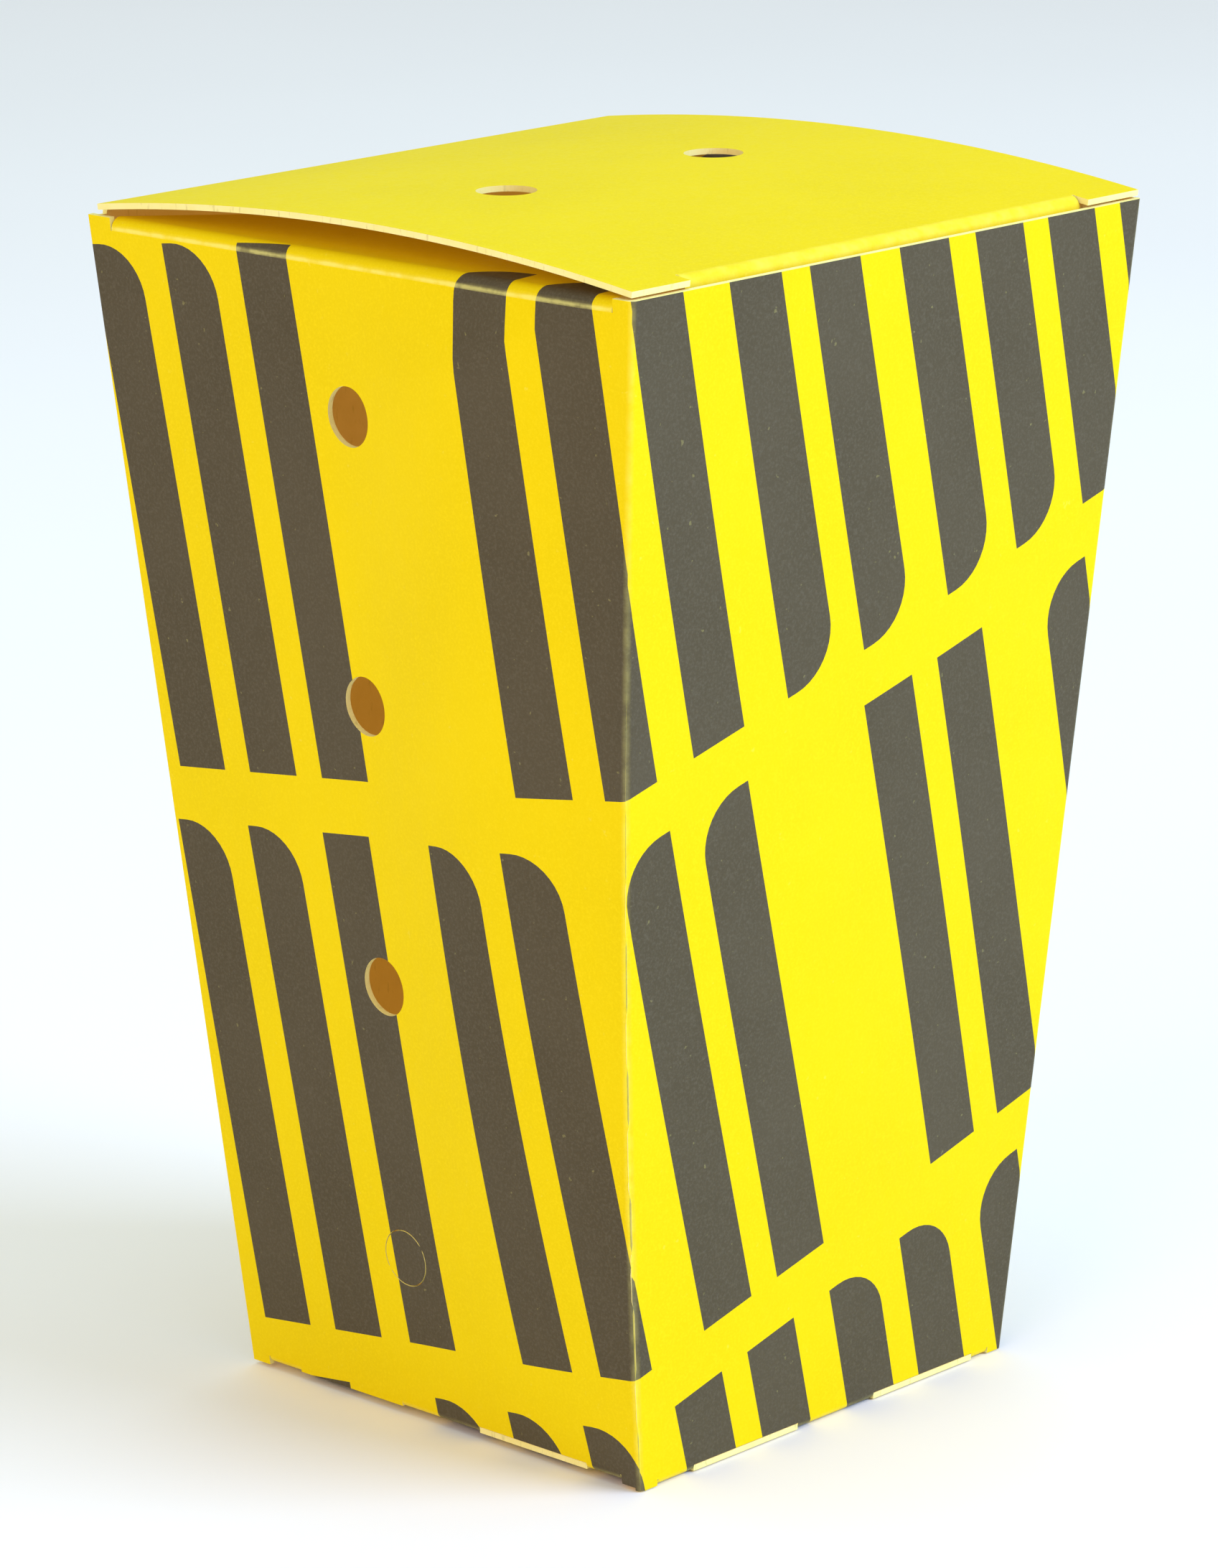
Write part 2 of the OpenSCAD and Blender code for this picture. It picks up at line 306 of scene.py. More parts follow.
def flat_board(k, section):
    """Puts points of strip k, x across and s along, where they stand."""

    def put(x, s):
        d, z = section.at(s)
        return world_point(k, x, d, z)

    return put


def cornered(k):
    """Wall k with its two upright edges rounded, up to the middle of each fold."""

    def put(x, s):
        d, z = PLAIN.at(s)
        side = np.abs(x) - half(z) + CORNER_R
        a = np.clip(side, 0, None) / CORNER_R * math.pi / 4
        turning = side > 0
        across = np.where(turning, half(z) - CORNER_R + CORNER_R * np.sin(a), np.abs(x))
        d = np.where(turning, d - CORNER_R + CORNER_R * np.cos(a), d)
        return world_point(k, across * np.sign(x), d, z)

    return put


def seamed(x, s):
    """Back wall past its seam edge: round the fold, then forwards behind the left wall."""
    d, z = PLAIN.at(s)
    side = x - half(z) + SEAM_REACH
    a = np.clip(side / CORNER_R, 0, math.pi / 2)
    past = np.clip(side - CORNER_R * math.pi / 2, 0, None)
    across = np.where(side > 0, half(z) - SEAM_REACH + CORNER_R * np.sin(a), x)
    d = np.where(side > 0, d - CORNER_R + CORNER_R * np.cos(a) - past, d)
    return world_point(2, across, d, z)


def inside(points, polygon):
    """Which points lie inside a polygon."""
    x, y = points.T
    found = np.zeros(len(points), bool)
    previous = polygon[-1]
    for current in polygon:
        (x0, y0), (x1, y1) = previous, current
        if y0 != y1:
            crosses = (y0 > y) != (y1 > y)
            found ^= crosses & (x < (x1 - x0) * (y - y0) / (y1 - y0) + x0)
        previous = current
    return found


def along_edges(polygon, step):
    """The polygon with its long edges divided."""
    points = []
    for a, b in zip(polygon, polygon[1:] + polygon[:1]):
        n = max(1, math.ceil(math.dist(a, b) / step))
        points += [(a[0] + (b[0] - a[0]) * i / n, a[1] + (b[1] - a[1]) * i / n) for i in range(n)]
    return points


def circle(x, y, r, n=48):
    """Points round a circle, anticlockwise."""
    turn = 2 * math.pi / n
    return [(x + r * math.cos(i * turn), y + r * math.sin(i * turn)) for i in range(n)]


def triangles(outline, holes, marks, step, stretch):
    """Flat triangles of the outline, cut along the marks; points are (x, s).

    stretch over 1 packs the points closer along s, and under 1 wider.
    """
    scale = np.array([1.0, stretch])
    rings = [along_edges([(a, b * stretch) for a, b in ring], step) for ring in [outline] + holes + marks]
    points, edges = [], []
    for ring in rings:
        first = len(points)
        points += ring
        edges += [(first + i, first + (i + 1) % len(ring)) for i in range(len(ring))]
    edge_ring = np.array(rings[0])
    low, high = edge_ring.min(0), edge_ring.max(0)
    n = np.maximum(1, np.ceil((high - low) / step)).astype(int)
    grid = np.stack(np.meshgrid(*[np.linspace(low[i], high[i], n[i] + 1) for i in (0, 1)]), -1)
    grid = grid.reshape(-1, 2)
    grid = grid[inside(grid, rings[0])]
    clear = np.ones(len(grid), bool)
    fixed = np.array(points)
    for i, j in edges:
        a, b = fixed[i], fixed[j]
        t = np.clip((grid - a) @ (b - a) / max((b - a) @ (b - a), 1e-12), 0, 1)
        clear &= np.linalg.norm(grid - a - t[:, None] * (b - a), axis=1) > EDGE_CLEAR * step
    points += [tuple(g) for g in grid[clear]]
    made = delaunay_2d_cdt([Vector(p) for p in points], edges, [], 0, 1e-4, False)
    flat = np.array([tuple(v) for v in made[0]])
    faces = np.array(made[2])
    middle = flat[faces].mean(axis=1)
    keep = inside(middle, rings[0])
    for hole in rings[1:1 + len(holes)]:
        keep &= ~inside(middle, hole)
    faces = faces[keep]
    middle = middle[keep]
    inked = np.zeros(len(faces), bool)
    for mark in rings[1 + len(holes):]:
        inked |= inside(middle, mark)
    used = np.unique(faces)
    new = np.full(len(flat), -1)
    new[used] = np.arange(len(used))
    return flat[used] / scale, new[faces], inked


# ---------- printed bars ----------

# The blank's strips fan out like a cone, so one straight print runs round all four walls.
FAN_STEP = 2 * math.asin(SN)  # from one wall's strip to the next
FAN_LEFT = math.radians(6.9)  # turn of the print on the left wall
APEX = BASE_W / 2 / SN  # from the bottom edge to the fan's point, along the board
FAN = [FAN_LEFT + FAN_STEP * turn for turn in (1, 2, 3, 0)]

BAR_W = 9.2
BAR_STEP = 14.2
BAR_ROUND = 7.5  # radius of a rounded corner
ROW_H = 71.2
ROW_PITCH = 78.7
ROW_BASE = 555.5  # foot of the top row, from the fan's point
# which corner of a bar is rounded off
SQUARE, LOW_RIGHT, HIGH_RIGHT, HIGH_LEFT = None, 0, 1, 2
# groups of bars in each row: start of the group, how many bars, rounded corner
ROWS = {
    0: [(26.3, 2, HIGH_RIGHT), (54.7, 1, SQUARE), (94.0, 2, HIGH_LEFT), (124.0, 1, SQUARE),
        (141.2, 2, LOW_RIGHT), (171.8, 2, LOW_RIGHT), (200.0, 2, SQUARE), (262.0, 3, HIGH_LEFT),
        (312.0, 5, SQUARE)],
    -1: [(24.0, 2, HIGH_RIGHT), (53.0, 1, SQUARE), (75.5, 2, HIGH_RIGHT), (109.0, 2, HIGH_LEFT),
         (154.0, 2, SQUARE), (190.0, 3, HIGH_LEFT), (245.0, 4, LOW_RIGHT), (312.0, 5, SQUARE)],
    -2: [(30.0, 1, SQUARE), (56.0, 3, HIGH_RIGHT), (101.5, 2, SQUARE), (132.0, 2, HIGH_RIGHT),
         (162.0, 2, HIGH_LEFT), (196.0, 4, SQUARE), (262.0, 3, HIGH_RIGHT), (312.0, 4, LOW_RIGHT)],
    -3: [(90.0, 3, SQUARE), (140.0, 2, SQUARE), (176.0, 4, HIGH_LEFT), (240.0, 2, SQUARE),
         (276.0, 4, HIGH_RIGHT), (340.0, 3, SQUARE)],
}


def bar(u, v, rounded):
    """One bar of the print: a plain stripe, at most one of its corners rounded off."""
    r = BAR_ROUND
    corners = [(BAR_W, 0), (BAR_W, ROW_H), (0, ROW_H), (0, 0)]
    points = []
    for number, (x, y) in enumerate(corners):
        if number == rounded:
            cx = x - r if x else r
            cy = y - r if y else r
            turns = [math.radians(90 * (number - 1 + i / 10)) for i in range(11)]
            points += [(u + cx + r * math.cos(a), v + cy + r * math.sin(a)) for a in turns]
        else:
            points.append((u + x, v + y))
    return points


def printed_bars():
    """Every bar of the print, in the blank's own plane."""
    bars = []
    for row, groups in ROWS.items():
        foot = ROW_BASE + row * ROW_PITCH
        for start, count, rounded in groups:
            bars += [bar(start + i * BAR_STEP, foot, rounded) for i in range(count)]
    return bars


BARS = printed_bars()


def bars_on(k, outline):
    """The printed bars in strip k's own x and s, those that touch the outline's box."""
    c, s = math.cos(FAN[k]), math.sin(FAN[k])
    low, high = np.min(outline, axis=0), np.max(outline, axis=0)
    found = []
    for points in BARS:
        local = [(u * c - v * s, u * s + v * c - APEX) for u, v in points]
        if np.all(np.min(local, axis=0) < high) and np.all(np.max(local, axis=0) > low):
            found.append(local)
    return found


# ---------- pieces ----------

YELLOW, INK, EDGE, LINER = range(4)


def patch(k, outline, put=None, holes=(), printed=True, step=WALL_STEP, stretch=1.0, wear_and_highlight=None):
    """Outer face of a flat-cut patch of board: points, normals, faces, ink flags, and wear with painted
    highlight along folds.
    """
    put = put or flat_board(k, PLAIN)
    marks = bars_on(k, outline) if printed else []
    flat, faces, inked = triangles(outline, list(holes), marks, step, stretch)
    x, s = flat.T
    nudge = 0.01
    across = put(x + nudge, s) - put(x - nudge, s)
    along = put(x, s + nudge) - put(x, s - nudge)
    normal = np.cross(across, along)
    normal /= np.linalg.norm(normal, axis=1)[:, None]
    rubbed_and_lit = wear_and_highlight(x, s) if wear_and_highlight else np.zeros(len(x))
    return put(x, s), normal, faces, inked, rubbed_and_lit


def shell(name, patches, materials, depth=BOARD):
    """A closed piece of board from outer patches: face, liner and cut edges."""
    points, faces, paint, normals, rubbed_and_lit = [], [], [], [], []
    for outer, normal, tris, inked, wear_and_highlight in patches:
        n = len(outer)
        first = sum(len(p) for p in points)
        rubbed_and_lit += [*wear_and_highlight, *np.zeros(n)]
        points.append(np.concatenate([outer, outer - depth * normal]))
        faces += [tuple(first + i for i in t) for t in tris]
        faces += [tuple(first + n + i for i in t[::-1]) for t in tris]
        paint += [INK if i else YELLOW for i in inked] + [LINER] * len(tris)
        normals += [normal[i] for t in tris for i in t]
        normals += [-normal[i] for t in tris for i in t[::-1]]
        sides = {(a, b) for t in tris for a, b in ((t[0], t[1]), (t[1], t[2]), (t[2], t[0]))}
        cut = [(a, b) for a, b in sides if (b, a) not in sides]
        for a, b in sorted(cut):
            faces.append((first + b, first + a, first + n + a, first + n + b))
            edge = np.cross(outer[b] - outer[a], normal[a] + normal[b])
            edge /= np.linalg.norm(edge) or 1
            normals += [edge] * 4
            paint.append(EDGE)
    mesh = bpy.data.meshes.new(name)
    mesh.from_pydata((np.concatenate(points) * MM).tolist(), [], faces)
    for material in materials:
        mesh.materials.append(material)
    mesh.polygons.foreach_set("material_index", paint)
    mesh.polygons.foreach_set("use_smooth", [True] * len(faces))
    # rubbed ink and painted highlight along folds, made pale by the print materials
    mesh.attributes.new("wear_and_highlight", "FLOAT", "POINT").data.foreach_set("value", rubbed_and_lit)
    mesh.normals_split_custom_set([tuple(v) for v in normals])
    piece = bpy.data.objects.new(name, mesh)
    bpy.context.scene.collection.objects.link(piece)
    return piece


def riding(node, body, patches):
    """Piece that stands for a CAD node and moves with one body."""
    piece = shell(node + "_board", patches, PAINTS)
    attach(piece, body)
    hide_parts(node)


def bending(node, patches):
    """Piece that stands for a CAD fold, built in place with its transform baked into its points."""
    piece = shell(node + "_board", patches, PAINTS)
    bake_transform(piece)
    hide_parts(node)


# ---------- materials ----------

FIBRE_HEIGHT = 0.00006
PRINT_GLOSS = 0.06
BOARD_GLOSS = 0.2
# strength of the liner's glow, painted light for daylight through the board
PAINTED_GLOW = 0.19
# sockets of the Mix node that hold colours
MIX_A, MIX_B, MIX_RESULT = 6, 7, 2


def new_material(name):
    """A material with its node tree and shader."""
    material = bpy.data.materials.new(name)
    material.use_nodes = True
    tree = material.node_tree
    shader = tree.nodes["Principled BSDF"]
    return material, tree, shader


def noise(tree, scale, detail=3.0, rough=0.5, squeeze=(1, 1, 1)):
    """Noise in the object's own metres; squeeze draws it out into fibres."""
    where = tree.nodes.new("ShaderNodeTexCoord")
    mapping = tree.nodes.new("ShaderNodeMapping")
    mapping.inputs["Scale"].default_value = squeeze
    texture = tree.nodes.new("ShaderNodeTexNoise")
    texture.inputs["Scale"].default_value = scale
    texture.inputs["Detail"].default_value = detail
    texture.inputs["Roughness"].default_value = rough
    tree.links.new(where.outputs["Object"], mapping.inputs["Vector"])
    tree.links.new(mapping.outputs["Vector"], texture.inputs["Vector"])
    return texture.outputs["Fac"]


def span(tree, value, low, high, to_low, to_high):
    """Maps a value's range to another."""
    node = tree.nodes.new("ShaderNodeMapRange")
    node.inputs["From Min"].default_value = low
    node.inputs["From Max"].default_value = high
    node.inputs["To Min"].default_value = to_low
    node.inputs["To Max"].default_value = to_high
    tree.links.new(value, node.inputs["Value"])
    return node.outputs["Result"]


def mixed(tree, factor, a, b):
    """Mix of two colours, each a colour or the output of another node."""
    node = tree.nodes.new("ShaderNodeMix")
    node.data_type = "RGBA"
    tree.links.new(factor, node.inputs["Factor"])
    for value, socket in ((a, node.inputs[MIX_A]), (b, node.inputs[MIX_B])):
        if isinstance(value, tuple):
            socket.default_value = (*value, 1)
        else:
            tree.links.new(value, socket)
    return node.outputs[MIX_RESULT]


def fibre_bump(tree, shader, height, strength):
    """Shallow relief of the board's fibres."""
    bump_node = tree.nodes.new("ShaderNodeBump")
    bump_node.inputs["Strength"].default_value = strength
    bump_node.inputs["Distance"].default_value = FIBRE_HEIGHT
    tree.links.new(height, bump_node.inputs["Height"])
    tree.links.new(bump_node.outputs["Normal"], shader.inputs["Normal"])


def print_material(name, colour, deep, fleck, roughness):
    """Printed board: cloudy from colour to deep, with flecks, small scuffs, and folds paled by rubbed ink
    and by painted highlights.
    """
    material, tree, shader = new_material(name)
    cloud = span(tree, noise(tree, scale=45, detail=4), 0.35, 0.65, 0, 1)
    grain = span(tree, noise(tree, scale=2600, detail=2, rough=0.7), 0.45, 0.75, 0, 1)
    base = mixed(tree, grain, mixed(tree, cloud, colour, deep), fleck)
    # per-point mask of rubbed ink and painted highlight along folds
    wear_and_highlight = tree.nodes.new("ShaderNodeAttribute")
    wear_and_highlight.attribute_name = "wear_and_highlight"
    cracks = span(tree, noise(tree, scale=420, rough=0.6), 0.35, 0.7, 0.45, 1.5)
    rubbed_and_lit = tree.nodes.new("ShaderNodeMath")
    rubbed_and_lit.operation = "MULTIPLY"
    rubbed_and_lit.use_clamp = True
    tree.links.new(wear_and_highlight.outputs["Fac"], rubbed_and_lit.inputs[0])
    tree.links.new(cracks, rubbed_and_lit.inputs[1])
    # pale board colour: shows in scuffs and rubbed ink, and doubles as the painted highlight along folds
    bare_board = (1.0, 0.95, 0.3)
    pale = tuple(0.55 * c + 0.45 * b for c, b in zip(colour, bare_board))
    scuffs = span(tree, noise(tree, scale=900, detail=2, rough=0.6), 0.71, 0.76, 0, 0.22)
    base = mixed(tree, scuffs, base, pale)
    tree.links.new(mixed(tree, rubbed_and_lit.outputs[0], base, pale), shader.inputs["Base Color"])
    fibres = noise(tree, scale=900, detail=4, rough=0.6, squeeze=(1, 1, 0.35))
    tree.links.new(span(tree, fibres, 0.3, 0.7, roughness - 0.06, roughness + 0.06),
                   shader.inputs["Roughness"])
    fibre_bump(tree, shader, fibres, 0.35)
    shader.inputs["Specular IOR Level"].default_value = PRINT_GLOSS
    return material


def board_material(name, colour, deep, painted_glow=None):
    """Uncoated board; the optional glow is painted light, an emission in the colour of the daylight that
    comes through the board to the inside.
    """
    material, tree, shader = new_material(name)
    if painted_glow:
        shader.inputs["Emission Color"].default_value = (*painted_glow, 1)
        shader.inputs["Emission Strength"].default_value = PAINTED_GLOW
    cloud = span(tree, noise(tree, scale=300, detail=5, rough=0.6), 0.3, 0.7, 0, 1)
    fleck = span(tree, noise(tree, scale=1500, detail=2, squeeze=(1, 1, 0.3)), 0.6, 0.72, 0, 0.6)
    base = mixed(tree, cloud, colour, deep)
    dark = tuple(c * 0.72 for c in deep)
    tree.links.new(mixed(tree, fleck, base, dark), shader.inputs["Base Color"])
    fibre_bump(tree, shader, noise(tree, scale=1100, detail=5, rough=0.65), 0.6)
    shader.inputs["Roughness"].default_value = 0.85
    shader.inputs["Specular IOR Level"].default_value = BOARD_GLOSS
    return material


PAINTS = [
    print_material("yellow_print", (0.81, 0.625, 0.0), deep=(0.78, 0.60, 0.0),
                   fleck=(0.84, 0.66, 0.004), roughness=0.5),
    print_material("ink_print", (0.090, 0.075, 0.044), deep=(0.081, 0.067, 0.038),
                   fleck=(0.112, 0.097, 0.062), roughness=0.46),
    board_material("raw_edge", (0.90, 0.83, 0.36), deep=(0.86, 0.78, 0.28)),
    # the liner glows: painted light for daylight through the board
    board_material("raw_liner", (0.62, 0.49, 0.31), deep=(0.55, 0.42, 0.25), painted_glow=(0.80, 0.42, 0.05)),
]


# ---------- walls and upright folds ----------


def wall_holes():
    """Middles of the holes in the left wall, from the top down."""
    return [(-(WALL_HOLE_SHIFT + WALL_HOLE_DRIFT * i), SLOPE - WALL_HOLE_TOP - WALL_HOLE_PITCH * i)
            for i in range(WALL_HOLES)]


def side_x(q, sign, reach):
    """Where a wall ends beside a fold that takes up that much of it."""
    return sign * (half(q * CS) - reach)


def wall_outline(left, right, layer, top, notch=None):
    """Wall from foot to top edge; left and right are what the upright folds take up."""
    q0 = wall_start(layer)
    foot = 0.5 * layer  # beside its fold the wall goes half way down past the plies under its own
    points = [(side_x(foot, -1, left), foot), (-BASE_HALF, foot), (-BASE_HALF, q0), (BASE_HALF, q0),
              (BASE_HALF, foot), (side_x(foot, 1, right), foot)]
    if notch:
        points += [(side_x(SLOPE, 1, right), SLOPE), (notch[1], SLOPE), (notch[1], top),
                   (-notch[0], top), (-notch[0], SLOPE), (side_x(SLOPE, -1, left), SLOPE)]
    else:
        points += [(side_x(top, 1, right), top), (side_x(top, -1, left), top)]
    return points


WALLS = {
    "wall_front": (0, wall_outline(CORNER_R, CORNER_R, LAYER[0], SLOPE), ()),
    "wall_right": (1, wall_outline(CORNER_R, CORNER_R, LAYER[1], DUST_Q, (DUST_FRONT, DUST_BACK)), ()),
    "wall_back": (2, wall_outline(CORNER_R, SEAM_REACH, LAYER[2], HINGE_Q), ()),
    "wall_left": (3, wall_outline(0, CORNER_R, LAYER[3], DUST_Q, (DUST_BACK, DUST_FRONT)),
                  [circle(x, q, HOLE_R) for x, q in wall_holes()]),
}
for node, (k, outline, holes) in WALLS.items():
    step = CREASED_STEP if node == "wall_left" else WALL_STEP
    riding(node, "carton", [patch(k, outline, holes=holes, step=step)])


def corner_highlight(x, s):
    """Painted highlight: a pale line down the middle of an upright fold."""
    return 0.25 * bump((half(s * CS) - np.abs(x)) / CORNER_R)


def upright_fold(node, k, top_left, top_right):
    """Fold between wall k and the next one, half of it with each wall's print."""
    patches = []
    for wall, sign, top in ((k, 1, top_left), ((k + 1) % 4, -1, top_right)):
        outline = [(side_x(0, sign, CORNER_R), 0), (side_x(0, sign, 0), 0),
                   (side_x(top, sign, 0), top), (side_x(top, sign, CORNER_R), top)]
        patches.append(patch(wall, outline[::sign], cornered(wall), wear_and_highlight=corner_highlight, **UPRIGHT_FOLD))
    riding(node, "carton", patches)


upright_fold("corner_front_left", 3, SLOPE, SLOPE)
upright_fold("corner_front_right", 0, SLOPE, SLOPE)
upright_fold("corner_back_right", 1, SLOPE, HINGE_Q)


def seam():
    """Glued seam at the back left corner: the back wall's fold and its flap inside."""
    fold = CORNER_R * math.pi / 2
    start = [side_x(q, 1, SEAM_REACH) for q in (0, HINGE_Q)]
    outline = [(start[0], 0), (start[0] + fold, 0), (start[1] + fold, HINGE_Q), (start[1], HINGE_Q)]
    riding("seam_fold", "carton",
           [patch(2, outline, seamed, printed=False, **UPRIGHT_FOLD)])
    low = GLUE_INSET
    high = SLOPE - GLUE_INSET
    heights = [low, low + GLUE_TAPER, high - GLUE_TAPER, high]
    widths = [0, GLUE_W, GLUE_W, 0]
    outline = [(side_x(q, 1, SEAM_REACH) + fold + width, q) for q, width in zip(heights, widths)]
    riding("glue_flap", "carton", [patch(2, outline, seamed, printed=False)])


def slug():
    """Disc left in the lowest hole, held by two uncut nicks."""
    x, q = wall_holes()[-1]
    nick = math.asin(NICK_HALF / HOLE_R)
    nick_turn = math.radians(35)
    count = 96
    outline = []
    for i in range(count):
        a = 2 * math.pi * i / count
        off_nick = abs((a - nick_turn + math.pi / 2) % math.pi - math.pi / 2)
        r = HOLE_R if off_nick < nick else HOLE_R - SLUG_CUT
        outline.append((x + r * math.cos(a), q + r * math.sin(a)))
    riding("slug", "carton", [patch(3, outline)])


seam()
slug()


# ---------- lid, tuck flap and dust flaps ----------


def box_outline(x0, x1, s0, s1):
    """Rectangle from x0 to x1 across and from s0 to s1 along the board."""
    return [(x0, s0), (x1, s0), (x1, s1), (x0, s1)]


def lid():
    """Bowed panel with two holes; it runs on a little outside the slits."""
    tab = LID_END + TAB_L
    outline = [(-LID_HALF_W, LID_START), (LID_HALF_W, LID_START), (LID_HALF_W, tab), (SLIT_X, tab),
               (SLIT_X, LID_END), (-SLIT_X, LID_END), (-SLIT_X, tab), (-LID_HALF_W, tab)]
    middle = (LID_START + LID_END) / 2
    holes = [circle(side * LID_HOLE_GAP / 2, middle, HOLE_R) for side in (-1, 1)]
    riding("lid", "lid",
           [patch(2, outline, flat_board(2, LID_STRIP), holes, printed=False)])


def fold_wear_and_highlight(middle, width, strength):
    """Pale line along a fold, standing for rubbed ink and for a painted highlight on the crest; width is
    that of the line from edge to edge.
    """

    def wear_and_highlight(x, s):
        return strength * bump((s - middle) / (0.5 * width))

    return wear_and_highlight


def lid_folds():
    """Fold at the back wall, and the one between the slits at the front."""
    back = flat_board(2, STRIP[2])
    hinge = HINGE_HALF - FIT
    # the pale lines along these two folds are painted highlights on their crests
    wear_and_highlight = fold_wear_and_highlight(HINGE_Q + LID_FOLD_ARC / 2, width=2 * LID_FOLD_ARC, strength=0.35)
    outline = box_outline(-hinge, hinge, HINGE_Q, LID_START)
    bending("lid_hinge_fold",
            [patch(2, outline, back, printed=False, wear_and_highlight=wear_and_highlight, **LEVEL_FOLD)])
    front = SLIT_X - SLIT_W
    wear_and_highlight = fold_wear_and_highlight(LID_END + LID_FOLD_ARC / 2, width=2 * LID_FOLD_ARC, strength=0.35)
    outline = box_outline(-front, front, LID_END, TUCK_START)
    bending("tuck_fold",
            [patch(2, outline, back, printed=False, wear_and_highlight=wear_and_highlight, **LEVEL_FOLD)])


def arc_points(x, s, r, start, n=8):
    """Quarter turn about a point, from the start angle in degrees."""
    turns = [math.radians(start + 90 * i / n) for i in range(n + 1)]
    return [(x + r * math.cos(a), s + r * math.sin(a)) for a in turns]


def tuck_flap():
    """Flap behind the front wall, wider than its fold and rounded at its tip."""
    side = half(BODY_H - TUCK_DEPTH) - BOARD / CS - TUCK_SIDE_ROOM
    c = TUCK_CORNER
    shoulder = TUCK_START + 1
    tip = TUCK_START + TUCK_DEPTH
    front = SLIT_X - SLIT_W
    outline = [(-front, TUCK_START), (front, TUCK_START), (front, shoulder), (side, shoulder)]
    outline += arc_points(side - c, tip - c, c, 0)
    outline += arc_points(c - side, tip - c, c, 90)
    outline += [(-side, shoulder), (-front, shoulder)]
    riding("tuck_flap", "tuck",
           [patch(2, outline, flat_board(2, STRIP[2]), printed=False)])


def dust_flap(side, k, mirror):
    """Dust flap and its fold; the back edge runs in at 45 degrees and the front edge tapers a little."""
    body = "dust_" + side
    back = FIT - DUST_BACK
    front = DUST_FRONT - FIT
    c = DUST_CORNER
    fold = box_outline(back, front, DUST_Q, DUST_START)
    tip = DUST_START + DUST_DEPTH
    narrow = DUST_FRONT - DUST_TAPER
    flap = [(back, DUST_START), (front, DUST_START), (front, DUST_START + DUST_TAPER), (narrow, tip - c)]
    flap += arc_points(narrow - c, tip - c, c, 0)
    flap += [(back + DUST_DEPTH, tip)]
    if mirror:
        fold = [(-x, s) for x, s in fold][::-1]
        flap = [(-x, s) for x, s in flap][::-1]
    put = flat_board(k, STRIP[k])
    wear_and_highlight = fold_wear_and_highlight(DUST_Q + 0.3, width=0.9, strength=1.2)
    bending("dust_fold_" + side,
            [patch(k, fold, put, wear_and_highlight=wear_and_highlight, **LEVEL_FOLD)])
    riding("dust_flap_" + side, body, [patch(k, flap, put)])


lid()
lid_folds()
tuck_flap()
dust_flap("left", 3, mirror=False)
dust_flap("right", 1, mirror=True)


# ---------- bottom ----------

CUT_GAP = 0.12  # between a wall's raw edge and the flap under it
EDGE_GAP = 0.1  # by which a raw edge stops short of the outside


def base_fold(node, k, cuts, closed=()):
    """Bottom fold of wall k, with the stretches where it is cut through.

    At a cut both plies run on straight to a raw edge; at a closed one the wall covers the flap's edge.
    """
    q0 = wall_start(LAYER[k])
    bottom = q0 - BOTTOM_ARC
    put = flat_board(k, STRIP[k])
    wear_and_highlight = fold_wear_and_highlight(q0 - BOTTOM_ARC / 2, width=BOTTOM_ARC, strength=0.4)
    lip = flat_board(k, Section(0, fold_axis(LAYER[k]), LAYER[k], 0.0, [(BASE_R, 0.0)]))
    cuts = [(a * BASE_W, b * BASE_W) for a, b in cuts]
    closed = [(a * BASE_W, b * BASE_W) for a, b in closed]
    ends = [FIT - BASE_HALF, *[end for slit in sorted(cuts + closed) for end in slit], BASE_HALF - FIT]
    patches = [patch(k, box_outline(a, b, bottom, q0), put, wear_and_highlight=wear_and_highlight, **LEVEL_FOLD)
               for a, b in zip(ends[::2], ends[1::2])]
    cut_foot = (LAYER[k] + BOARD + CUT_GAP) / CS
    closed_foot = (LAYER[k] + EDGE_GAP) / CS
    for a, b in cuts:
        patches.append(patch(k, box_outline(a, b, cut_foot, q0), **RAW_END))
        patches.append(patch(k, box_outline(a, b, 0, BASE_R - EDGE_GAP), lip, printed=False, **RAW_END))
    for a, b in closed:
        patches.append(patch(k, box_outline(a, b, closed_foot, q0), **RAW_END))
    riding(node, "carton", patches)


def base_flap(node, k, half_outline):
    """Bottom flap; its right half is given as x and the distance in from its fold."""
    end = wall_start(LAYER[k]) - BOTTOM_ARC
    whole = half_outline + [(-x, inward) for x, inward in half_outline[::-1]]
    outline = [(x, end - inward) for x, inward in whole[::-1]]
    riding(node, "carton", [patch(k, outline, flat_board(k, STRIP[k]), step=FLAP_STEP)])


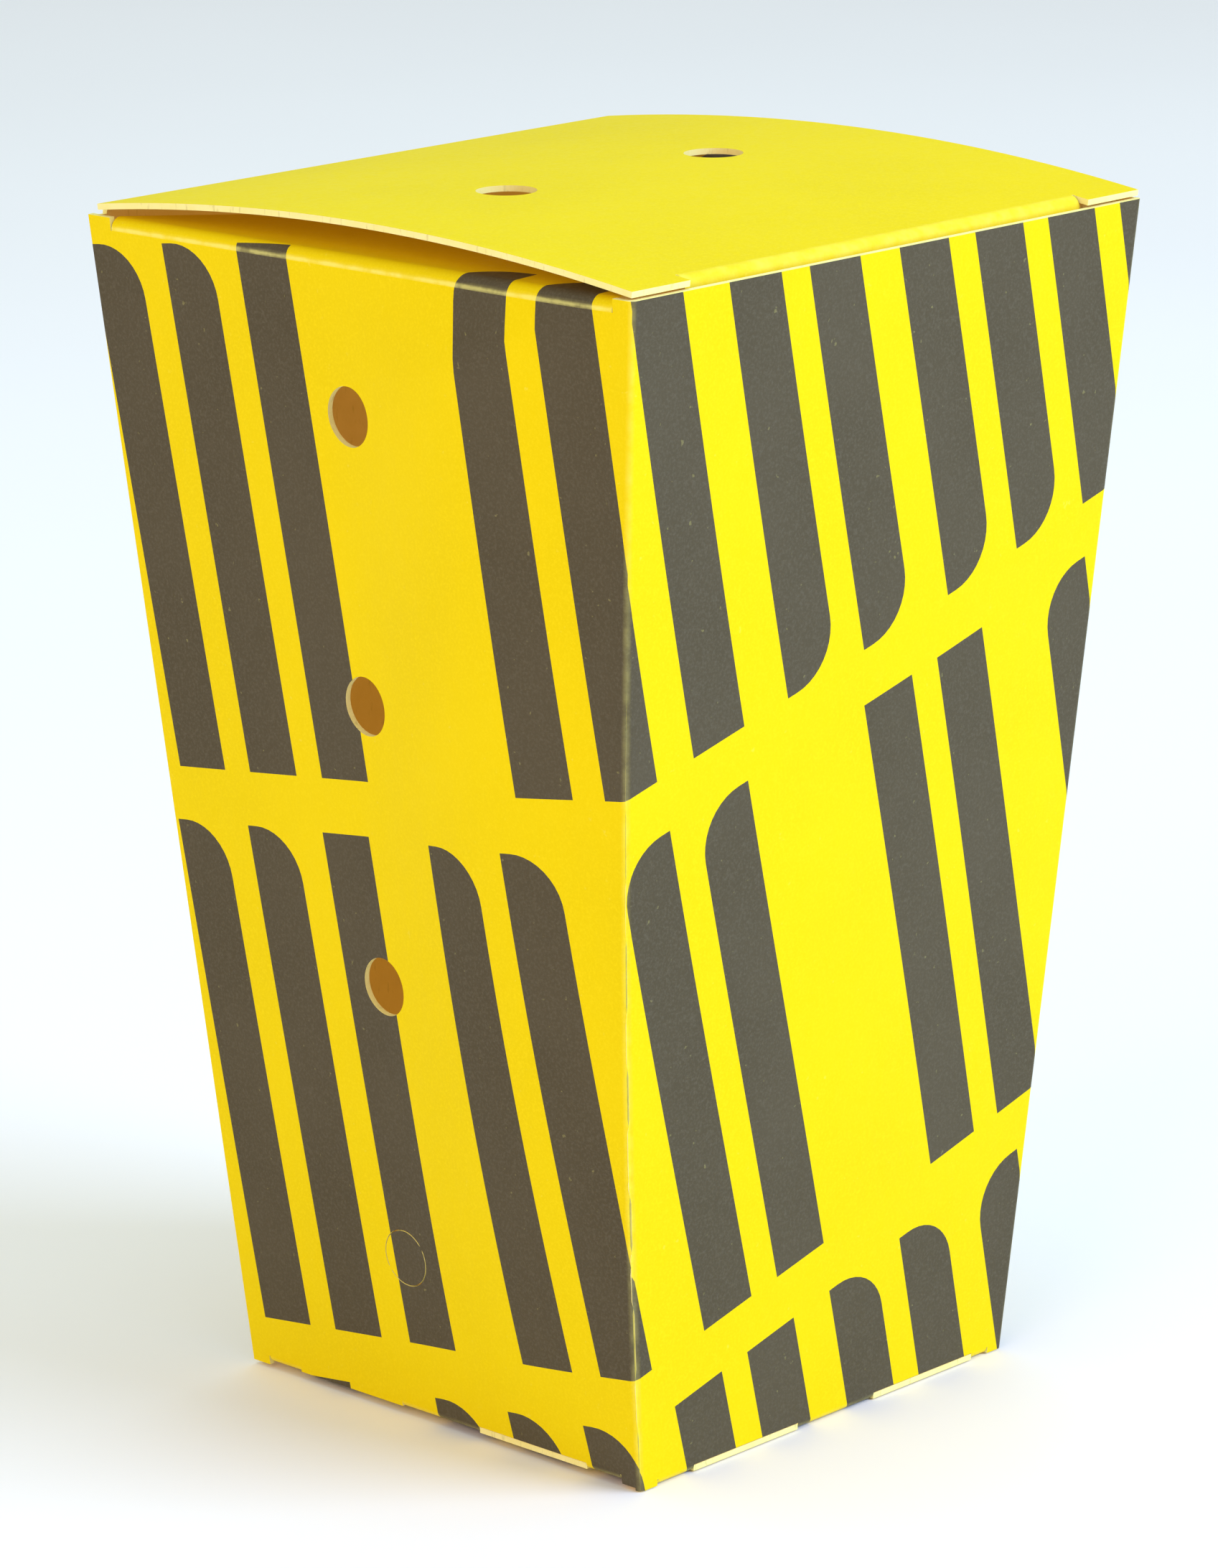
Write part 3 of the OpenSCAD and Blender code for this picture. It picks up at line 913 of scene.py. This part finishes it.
def bottom():
    """Folds and flaps of the locking bottom; cuts are given as shares of its width."""
    base_fold("base_fold_front", 0, [(-0.36, -0.08), (0.13, 0.41)])
    base_fold("base_fold_back", 2, [(-0.36, -0.08), (0.08, 0.36)])
    base_fold("base_fold_left", 3, [(0.10, 0.37)], closed=[(-0.37, -0.10)])
    base_fold("base_fold_right", 1, [(-0.37, -0.10), (0.10, 0.37)])
    side = BASE_HALF - FIT
    ramp = fold_axis(0) + RAMP_LOW
    tip = sum(part[0] for part in tongue_part)
    half_tongue = [(side, 0), (side - 2, 5), (TONGUE + 4, 14), (TONGUE, ramp - 2),
                   (TONGUE, tip - 1), (TONGUE - 1, tip)]
    base_flap("base_tongue_flap", 0, half_tongue)
    half_side = [(side, 0), (side - 1, 4), (side - 0.55 * SIDE_DEPTH, SIDE_DEPTH)]
    base_flap("base_side_flap_left", 3, half_side)
    base_flap("base_side_flap_right", 1, half_side)
    depth = fold_axis(LAYER[2]) - SLOT_EDGE
    slot_end = fold_axis(LAYER[2]) - SLOT_END
    slot_side = TONGUE + 1
    half_slot = [(side, 0), (side, depth - 6), (side - 6, depth), (slot_side, depth), (slot_side, slot_end)]
    base_flap("base_slot_flap", 2, half_slot)


bottom()


# ---------- studio ----------


def softbox(name, where, aim, size, power, colour):
    """Square soft light at a place, turned towards its aim; metres and watts."""
    lamp = bpy.data.lights.new(name, "AREA")
    lamp.shape = "SQUARE"
    lamp.size = size
    lamp.energy = power
    lamp.color = colour
    box = bpy.data.objects.new(name, lamp)
    box.location = where
    box.rotation_euler = (Vector(aim) - Vector(where)).to_track_quat("-Z", "Y").to_euler()
    bpy.context.scene.collection.objects.link(box)


def studio():
    """Pale floor, even sky and three soft lights."""
    mesh = bpy.data.meshes.new("floor")
    reach = 6.0
    corners = [(x, y, 0) for x, y in box_outline(-reach, reach, -reach, reach)]
    mesh.from_pydata(corners, [], [(0, 1, 2, 3)])
    floor = bpy.data.objects.new("floor", mesh)
    floor.location.z = -0.0002
    material, tree, shader = new_material("pale_floor")
    cloud = span(tree, noise(tree, scale=3, detail=2), 0.3, 0.7, 0, 1)
    tree.links.new(mixed(tree, cloud, (0.96, 0.93, 0.93), (0.94, 0.91, 0.91)), shader.inputs["Base Color"])
    shader.inputs["Roughness"].default_value = 0.7
    mesh.materials.append(material)
    bpy.context.scene.collection.objects.link(floor)
    world = bpy.data.worlds.new("studio")
    world.use_nodes = True
    sky = world.node_tree.nodes["Background"]
    sky.inputs["Color"].default_value = (0.94, 1.0, 0.99, 1)
    sky.inputs["Strength"].default_value = 0.6
    bpy.context.scene.world = world
    middle = (0, 0, 0.08)
    softbox("key", (0.7, -1.5, 1.0), middle, size=1.2, power=28, colour=(0.82, 1.01, 1.4))
    softbox("fill", (-1.6, -0.3, 0.7), middle, size=1.2, power=12, colour=(1.08, 0.70, 0.5))
    softbox("top", (0.1, 0.3, 1.8), (0, 0, 0.1), size=1.4, power=9, colour=(0.62, 0.98, 1.0))
    bpy.context.scene.view_settings.view_transform = "Standard"


def camera():
    """Camera of the photograph: turned round the middle of the carton, then rolled and shifted."""
    azimuth, elevation, roll = (math.radians(a) for a in (-46.361, 14.969, -0.647))
    distance, shift_x, shift_y = 825.6, 1.854, -1.424
    back = Vector((math.sin(azimuth) * math.cos(elevation), -math.cos(azimuth) * math.cos(elevation),
                   math.sin(elevation)))
    right = (-back).cross(Vector((0, 0, 1))).normalized()
    up = right.cross(-back)
    turned = right * math.cos(roll) + up * math.sin(roll)
    upper = up * math.cos(roll) - right * math.sin(roll)
    eye = Vector((0, 0, BODY_H / 2)) + back * distance - turned * shift_x - upper * shift_y
    data = bpy.data.cameras.new("camera")
    data.lens = 140.73
    data.clip_start = 0.05
    made = bpy.data.objects.new("camera", data)
    made.matrix_world = Matrix.Translation(eye * MM) @ Matrix((turned, upper, back)).transposed().to_4x4()
    bpy.context.scene.collection.objects.link(made)
    bpy.context.scene.camera = made


studio()
camera()
